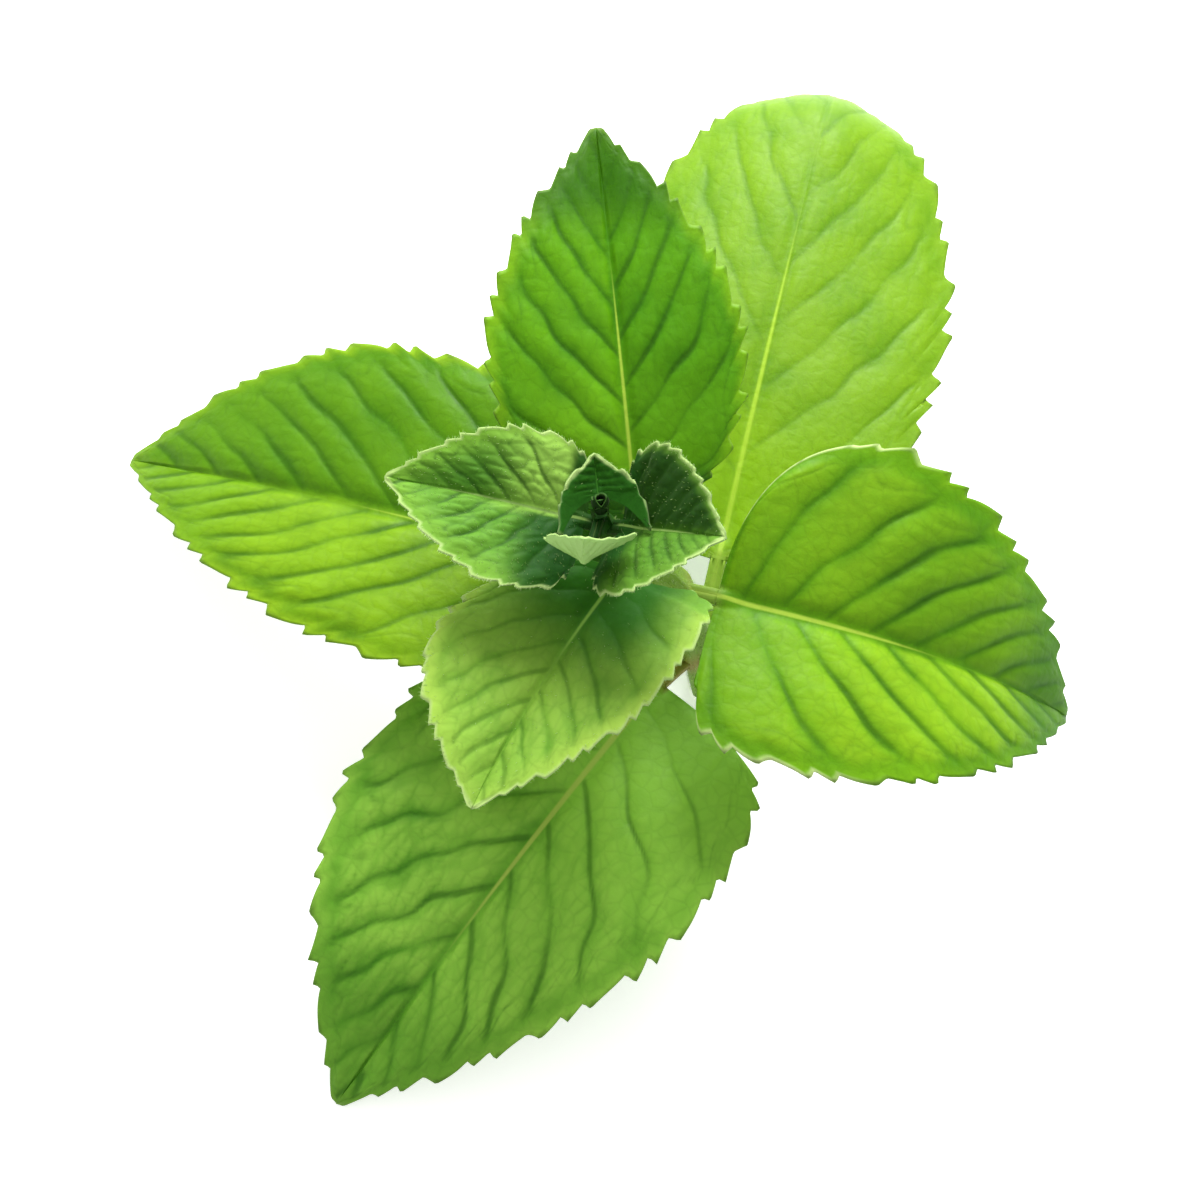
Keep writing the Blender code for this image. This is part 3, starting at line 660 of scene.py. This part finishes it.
upperBack = dict(
    piece="upper_back_leaf", cadNode="leaf_upper_back", node="node3", stalk=3.5, length=36.5,
    width=24.5, teeth=17, tooth=0.75, heading=96, rise=28, droop=26, fold=(12, 12), curl=-5,
    sides=(1.0, 0.92), widest=(0.42, 0.42), square=(2.2, 2.2), veins=9, ribWidth=0.7, ribFade=0.6,
    puff=0.13, crack=0.10, cross=0.10, cellShare=0.3,
    look=dict(fullGreen, tip="#245402", tipShare=0.85, tipFrom=0.66, base="#74ac14", baseShare=0.6,
        # the dark next to the stem and the darker right half are painted shade
        grooveDepth=0.7, shade="#18480a", shadeNear=0.06, baseEnd=0.4, baseHalf=14, halfShading="#2f7404",
        halfShadingSide=-1, halfShadingShare=0.35, deep="#346e03", bright="#518c06", hill="#66a00a", band="#82b116"))
upperFront = dict(
    piece="upper_front_leaf", cadNode="leaf_upper_front", node="node3", stalk=3.2, length=26.6,
    width=21.5, teeth=17, tooth=0.55, heading=234.5, sweep=10, rise=15, droop=20, fold=(20, 9), curl=-5,
    veins=9, crack=0.1, cross=0.15, puff=0.11, sides=(0.96, 1.0), widest=(0.34, 0.55),
    square=(4.5, 1.7), lobe=3.1, down=0.1, fringe=3.0, downLength=0.3, ribWidth=0.75, ribFade=0.5,
    look=dict(downyGreen, deep="#669a2c", bright="#8ebc40", hill="#a0c850", band="#bcdc5c",
        # its dark base is painted shadow, cast by the young leaves above
        groove="#1c4a0a", tip="#7aa838", tipShare=0.5, tipFrom=0.7, base="#1c5600", baseShare=1.0,
        baseEnd=0.62, baseHalf=12, rib="#6f9838", grooveDepth=0.4))
youngLeft = dict(
    piece="young_left_leaf", cadNode="young_leaf_left", node="node4", stalk=2.0, length=18.5,
    width=15.5, teeth=13, tooth=0.45, heading=169, rise=17, droop=20, fold=(12, 20), curl=0,
    sides=(1.1, 0.88), veins=8, cell=1.4, puff=0.20, cross=0.35, down=0.35, fringe=4.0, downLength=0.28,
    look=dict(downyGreen, deep="#417619", bright="#588a26", hill="#6a9c34", band="#81b139",
        groove="#1c440a", base="#9cc854", baseShare=0.85, baseEnd=0.6, baseHalf=3.0, baseLean=-0.95,
        # its darker right half, the dark at its base and its dark stalk are painted shade
        halfShading="#2c6010", halfShadingSide=-1, halfShadingShare=0.75, halfShadingEdge=5.0, halfShadingFrom=0.3, bandWidth=3.0,
        shade="#10440a", shadeNear=0.1, shadeHalf=1, shadeEnd=0.42, stalk="#123c08", stalkShare=1.0,
        grooveDepth=0.7))
youngRight = dict(
    piece="young_right_leaf", cadNode="young_leaf_right", node="node4", stalk=2.6, length=13.5,
    width=15.0, teeth=12, tooth=0.45, heading=-27, rise=49, droop=10, fold=(28, 12), curl=(5, -10),
    veins=9, cell=1.4, down=0.3, fringe=5.0, downLength=0.3,
    look=dict(downyGreen, deep="#33600f", bright="#4c7a1e", hill="#588828", band="#689430",
        # its dark left half is painted shade and partly its own darker green; the dark at its base and its
        # stalk are painted shade
        groove="#1c430b", halfShading="#0c3602", halfShadingSide=1, halfShadingShare=0.97, halfShadingEdge=1.2, shade="#10440a",
        shadeNear=0.12, shadeHalf=-1, shadeEnd=0.3, stalk="#123c08", stalkShare=1.0))
tipBack = dict(
    piece="tip_back_leaf", cadNode="tip_leaf_back", node="node5", stalk=1.3, length=4.2, width=9.8,
    teeth=7, tooth=0.3, lobe=4.6, taper=1.1, heading=96, rise=4, droop=-25, fold=(34, 28), curl=10,
    veins=7, cell=1.0, columns=30, widest=(0.1, 0.1), toothFrom=(0.25, 0.25), down=0.06, fringe=5.0,
    downLength=0.22,
    look=dict(downyGreen, deep="#144a02", bright="#1f580a", hill="#26600e", groove="#0c3204",
        band="#2c601a", bandWidth=0.8, rib="#2c6412"))
tipFront = dict(
    piece="tip_front_leaf", cadNode="tip_leaf_front", node="node5", stalk=3.4, length=8.2, width=9.2,
    teeth=8, tooth=0.3, toothFrom=(0.15, 0.15), heading=256, rise=-10, droop=-130, fold=(38, 14),
    curl=0, sides=(1.06, 0.8), widest=(0.6, 0.7), veins=8, cell=1.0, columns=30, down=0.12, fringe=5.0,
    downLength=0.22,
    look=dict(downyGreen, deep="#10400a", bright="#1c520c", hill="#205a10", groove="#0a2c04",
        # its dark stalk is painted shade
        band="#2c601a", bandWidth=1.0, stalk="#123c08", under="#a6ca7a", underVein="#8cb25a"))


def growLeaves():
    downy = []
    for wanted in (lowestBack, lowestFront, rightLeaf, leftLeaf, upperBack, upperFront,
                   youngLeft, youngRight, tipBack, tipFront):
        leaf = {**usualLeaf, **wanted}
        mesh = leafMesh(leaf["piece"], leaf)
        tissue = leafTissue(leaf["piece"] + "_tissue", leaf["look"])
        piece = addPiece(leaf["piece"], mesh, tissue, leaf["cadNode"], leaf["cadNode"])
        if leaf["fringe"] > 0:
            downy.append((piece, leaf["cadNode"], leaf["downLength"]))
        print("grew", leaf["piece"], len(mesh.polygons), "faces")
    return downy


# The bud: two pairs of scales, each a tiny cupped leaf, closed over one another.
budScale = dict(
    node="tip", stalk=0.7, width=2.9, teeth=3, tooth=0.12, droop=-52, fold=(20, 20), curl=95, veins=4,
    puff=0.10, cell=0.8, blade=0.14, rib=0.25, wave=0.0, columns=10, toothSteps=6, widest=(0.45, 0.45),
    square=(2.2, 2.2))
budPlaces = (
    dict(heading=8, rise=56, length=3.0), dict(heading=188, rise=58, length=2.9),
    dict(heading=98, rise=66, length=2.3), dict(heading=278, rise=64, length=2.4))
# The bud's colours are painted near-black green, as the shade in the hollow among the youngest leaves.
budShadedGreen = dict(
    downyGreen, deep="#0a2604", bright="#123606", hill="#163c08", band="#1c460c", rim="#3c6420",
    rib="#1c460c", tooth="#3c6420", groove="#061a02", glow="#2c6410", under="#123406",
    underVein="#163c08", stalk="#0e2c06", through=0.12)


def growBud():
    joined = bmesh.new()
    for place in budPlaces:
        scale = leafMesh("bud_scale", {**usualLeaf, **budScale, **place})
        joined.from_mesh(scale)
        bpy.data.meshes.remove(scale)
    mesh = bpy.data.meshes.new("shoot_bud")
    joined.to_mesh(mesh)
    joined.free()
    mesh.shade_smooth()
    addPiece("shoot_bud", mesh, leafTissue("shoot_bud_tissue", budShadedGreen), "tip_bud", "tip_bud")
    print("grew shoot_bud", len(mesh.polygons), "faces")


def newTree(name, *inputs):
    # A node group with a geometry in and out, and one named input for each (name, socket type).
    tree = bpy.data.node_groups.new(name, "GeometryNodeTree")
    tree.interface.new_socket("Geometry", in_out="INPUT", socket_type="NodeSocketGeometry")
    for label, kind in inputs:
        tree.interface.new_socket(label, in_out="INPUT", socket_type=kind)
    tree.interface.new_socket("Geometry", in_out="OUTPUT", socket_type="NodeSocketGeometry")
    return tree, tree.nodes.new("NodeGroupInput").outputs, tree.nodes.new("NodeGroupOutput").inputs


def grown(name, source, tree, **values):
    # The mesh that the tree makes of source, as a plain mesh.
    holder = bpy.data.objects.new(name + "_source", source)
    bpy.context.scene.collection.objects.link(holder)
    modifier = holder.modifiers.new(tree.name, "NODES")
    modifier.node_group = tree
    for item in tree.interface.items_tree:
        if item.in_out == "INPUT" and item.name in values:
            modifier[item.identifier] = values[item.name]
    seen = holder.evaluated_get(bpy.context.evaluated_depsgraph_get())
    mesh = bpy.data.meshes.new_from_object(seen)
    holder.modifiers.remove(modifier)
    bpy.data.objects.remove(holder)
    mesh.name = name
    return mesh


def sweepTree():
    # A rounded square with slightly hollow sides, swept along a line whose points carry "half".
    tree, given, result = newTree(
        "square_sweep", ("Corner", "NodeSocketFloat"), ("Hollow", "NodeSocketFloat"),
        ("Turn", "NodeSocketFloat"), ("Material", "NodeSocketMaterial"))
    square = addNode(tree, "GeometryNodeCurvePrimitiveQuadrilateral", {0: 2.0, 1: 2.0})
    rounded = addNode(tree, "GeometryNodeFilletCurve",
                      {"Curve": square, "Radius": given["Corner"], "Count": 5}, mode="POLY")
    ring = addNode(tree, "GeometryNodeResampleCurve", {"Curve": rounded, "Count": 40})
    spot = addNode(tree, "GeometryNodeInputPosition")
    parts = addNode(tree, "ShaderNodeSeparateXYZ", {0: spot}).outputs
    angle = addNode(tree, "ShaderNodeMath", {0: parts[1], 1: parts[0]}, operation="ARCTAN2")
    fourfold = addNode(tree, "ShaderNodeMath", {0: angle, 1: 4.0}, operation="MULTIPLY")
    wave = addNode(tree, "ShaderNodeMath", {0: fourfold}, operation="COSINE")
    inward = addNode(tree, "ShaderNodeMath", {0: wave, 1: given["Hollow"]}, operation="MULTIPLY")
    kept = addNode(tree, "ShaderNodeMath", {0: 1.0, 1: inward}, operation="SUBTRACT")
    pulled = addNode(tree, "ShaderNodeVectorMath", {0: spot, "Scale": kept}, operation="SCALE")
    ring = addNode(tree, "GeometryNodeSetPosition", {"Geometry": ring, "Position": pulled})
    line = addNode(tree, "GeometryNodeMeshToCurve", {0: given["Geometry"]})
    line = addNode(tree, "GeometryNodeSetCurveTilt", {"Curve": line, "Tilt": given["Turn"]})
    half = addNode(tree, "GeometryNodeInputNamedAttribute", {"Name": "half"}, data_type="FLOAT")
    skin = addNode(tree, "GeometryNodeCurveToMesh", {"Curve": line, "Profile Curve": ring, "Scale": half,
                                                     "Fill Caps": True})
    whole = addNode(tree, "GeometryNodeRealizeInstances", {0: skin})
    painted = addNode(tree, "GeometryNodeSetMaterial", {"Geometry": whole, "Material": given["Material"]})
    tree.links.new(painted.outputs[0], result["Geometry"])
    return tree


# Hairs for each square metre where the cover is 1, and mm. They are finer in life; these are as coarse
# as they need to be to show. stray is how far each leans off its way along each axis.
hairs = dict(density=6.0e6, thickness=0.045, stray=(0.55, 0.55, 0.3), shortest=0.55, longest=1.15,
             seed=7, colour="#bcd490")


def hairTree():
    # Thin three-sided hairs on the faces, as dense as "cover" says, leaning along "lean".
    tree, given, result = newTree("hairs", ("Density", "NodeSocketFloat"), ("Length", "NodeSocketFloat"),
                                  ("Thickness", "NodeSocketFloat"), ("Seed", "NodeSocketInt"),
                                  ("Material", "NodeSocketMaterial"))
    cover = addNode(tree, "GeometryNodeInputNamedAttribute", {"Name": "cover"}, data_type="FLOAT")
    density = addNode(tree, "ShaderNodeMath", {0: cover, 1: given["Density"]}, operation="MULTIPLY")
    roots = addNode(tree, "GeometryNodeDistributePointsOnFaces",
                    {"Mesh": given["Geometry"], "Density": density, "Seed": given["Seed"]},
                    distribute_method="RANDOM").outputs["Points"]
    lean = addNode(tree, "GeometryNodeInputNamedAttribute", {"Name": "lean"}, data_type="FLOAT_VECTOR")
    stray = addNode(tree, "FunctionNodeRandomValue", {"Seed": given["Seed"]}, data_type="FLOAT_VECTOR")
    stray.inputs[0].default_value = [-part for part in hairs["stray"]]
    stray.inputs[1].default_value = hairs["stray"]
    way = addNode(tree, "ShaderNodeVectorMath", {0: lean, 1: stray}, operation="ADD")
    turn = addNode(tree, "FunctionNodeAlignRotationToVector", {"Vector": way}, axis="Z")
    size = addNode(tree, "FunctionNodeRandomValue", {"Seed": given["Seed"]}, data_type="FLOAT")
    size.inputs[2].default_value = hairs["shortest"]
    size.inputs[3].default_value = hairs["longest"]
    longer = addNode(tree, "ShaderNodeMath", {0: size.outputs[1], 1: given["Length"]},
                     operation="MULTIPLY")
    scale = addNode(tree, "ShaderNodeCombineXYZ",
                    {0: given["Thickness"], 1: given["Thickness"], 2: longer})
    hair = addNode(tree, "GeometryNodeMeshCone", {"Vertices": 3, "Radius Top": 0.1, "Radius Bottom": 0.5,
                                                  "Depth": 1.0})
    placed = addNode(tree, "GeometryNodeInstanceOnPoints",
                     {"Points": roots, "Instance": hair, "Rotation": turn, "Scale": scale})
    whole = addNode(tree, "GeometryNodeRealizeInstances", {0: placed})
    painted = addNode(tree, "GeometryNodeSetMaterial", {"Geometry": whole, "Material": given["Material"]})
    tree.links.new(painted.outputs[0], result["Geometry"])
    return tree


# The stem: square, slightly hollow-sided, a little swollen at each pair of leaves.
stem = dict(
    corner=0.42, hollow=0.05, turn=45.0, swelling=0.10, swellingReach=1.6, points=120,
    greenFrom=0.026, darkFrom=0.034,  # heights in metres between which it turns as dark as the shoot's tip: painted shade
    flushEnds=(12, 26),  # mm along it between which the red fades out
    flushShare=0.55,
    hairFoot=1.2, hairTop=33.0, hairLength=0.3,
    skin="#7c9e34", shadow="#5e8424", top="#164006", flush="#8a5c38", pith="#c3d294")


def stemSkin():
    # Stem skin: firm, lightly waxed green, flushed with purple-brown at the leaf joints, and a
    # paler, moist, matt pith where it is cut.
    made, tree = emptyMaterial("stem_skin")
    place = addNode(tree, "ShaderNodeTexCoord").outputs["Object"]
    joint = addNode(tree, "ShaderNodeAttribute", attribute_name="joint").outputs["Fac"]
    patches = addNode(tree, "ShaderNodeTexNoise",
                      {"Vector": place, "Scale": 1 / 0.003, "Detail": 2.0})  # about 3 mm across
    height = addNode(tree, "ShaderNodeSeparateXYZ", {0: place}).outputs[2]
    # the top of the stem is painted dark, as shade under the young leaves and the bud
    shadedTop = addNode(tree, "ShaderNodeMapRange", {0: height, 1: stem["greenFrom"], 2: stem["darkFrom"]})
    flush = addNode(tree, "ShaderNodeMath", {0: joint, 1: stem["flushShare"]}, operation="MULTIPLY")
    normal = addNode(tree, "ShaderNodeNewGeometry").outputs["True Normal"]
    upward = addNode(tree, "ShaderNodeSeparateXYZ", {0: normal}).outputs[2]
    # the cut end is what faces straight down
    cut = addNode(tree, "ShaderNodeMath", {0: upward, 1: -0.9}, operation="LESS_THAN")

    colour = addNode(tree, "ShaderNodeMix", {
        0: patches, 6: toLinear(stem["skin"]), 7: toLinear(stem["shadow"])}, data_type="RGBA").outputs[2]
    for share, layer in ((shadedTop, "top"), (flush, "flush"), (cut, "pith")):
        colour = addNode(tree, "ShaderNodeMix", {0: share, 6: colour, 7: toLinear(stem[layer])},
                         data_type="RGBA").outputs[2]
    skin = addNode(tree, "ShaderNodeBsdfPrincipled", {
        "Base Color": colour, "Roughness": 0.5, "IOR": 1.42, "Specular IOR Level": 0.25})
    addNode(tree, "ShaderNodeOutputMaterial", {"Surface": skin})
    return made


def growStem():
    spots = np.array([place for place, half in stemPlaces.values()])
    halves = np.array([half for place, half in stemPlaces.values()])
    # a smooth line through every place, each span bent by its neighbours
    knots = np.concatenate([[0], np.cumsum(np.linalg.norm(np.diff(spots, axis=0), axis=1))])
    slopes = np.gradient(spots, knots, axis=0)
    along = np.linspace(0, knots[-1], stem["points"])
    span = np.clip(np.searchsorted(knots, along, side="right") - 1, 0, len(knots) - 2)
    width = (knots[span + 1] - knots[span])[:, None]
    part = (along[:, None] - knots[span][:, None]) / width
    line = ((2 * part ** 3 - 3 * part ** 2 + 1) * spots[span]
            + (part ** 3 - 2 * part ** 2 + part) * width * slopes[span]
            + (3 * part ** 2 - 2 * part ** 3) * spots[span + 1]
            + (part ** 3 - part ** 2) * width * slopes[span + 1])
    joint = sum(np.exp(-((along - knot) / stem["swellingReach"]) ** 2) for knot in knots[1:-1])
    joint = np.clip(joint, 0, 1)
    flush = joint * (1 - smooth(*stem["flushEnds"], along))  # only the older, lower joints redden
    half = np.interp(along, knots, halves) * (1 + stem["swelling"] * joint)

    source = bpy.data.meshes.new("stem_line")
    source.from_pydata(((line - origin) * mm).tolist(), [(i, i + 1) for i in range(len(line) - 1)], [])
    for key, values in (("half", half * mm), ("joint", flush)):
        source.attributes.new(key, "FLOAT", "POINT").data.foreach_set("value", values.astype(np.float32))
    skin = stemSkin()
    mesh = grown("cut_stem", source, sweepTree(), Corner=stem["corner"], Hollow=stem["hollow"],
                 Turn=float(np.radians(stem["turn"])), Material=skin)
    # hairs stand straight out of it
    hairy = [float(stem["hairFoot"] * mm < vertex.co.z < stem["hairTop"] * mm) for vertex in mesh.vertices]
    mesh.attributes.new("cover", "FLOAT", "POINT").data.foreach_set("value", hairy)
    lean = mesh.attributes.new("lean", "FLOAT_VECTOR", "POINT")
    lean.data.foreach_set("vector", [part for vertex in mesh.vertices for part in vertex.normal])
    mesh.shade_smooth()
    piece = addPiece("cut_stem", mesh, skin, "stem", "stem")
    print("grew cut_stem", len(mesh.polygons), "faces")
    return piece


def growHairs(places):
    # Leaf hairs: clear, stiff and fine, so that a fringe of them reads as a pale soft rim.
    made, tree = emptyMaterial("leaf_hair")
    skin = addNode(tree, "ShaderNodeBsdfPrincipled", {
        "Base Color": toLinear(hairs["colour"]), "Roughness": 0.35, "IOR": 1.45, "Specular IOR Level": 0.3})
    through = addNode(tree, "ShaderNodeBsdfTranslucent", {"Color": toLinear(hairs["colour"])})
    both = addNode(tree, "ShaderNodeMixShader", {0: 0.5, 1: skin, 2: through})
    addNode(tree, "ShaderNodeOutputMaterial", {"Surface": both})
    tree = hairTree()
    for index, (piece, slotName, length) in enumerate(places):
        mesh = grown(piece.name + "_hairs", piece.data.copy(), tree, Density=hairs["density"],
                     Length=length * mm, Thickness=hairs["thickness"] * mm, Seed=hairs["seed"] + index,
                     Material=made)
        addPiece(piece.name + "_hairs", mesh, made, slotName)
        print("grew", mesh.name, len(mesh.polygons), "faces")


setStage()
downyPieces = growLeaves()
growBud()
downyPieces.append((growStem(), "stem", stem["hairLength"]))
growHairs(downyPieces)
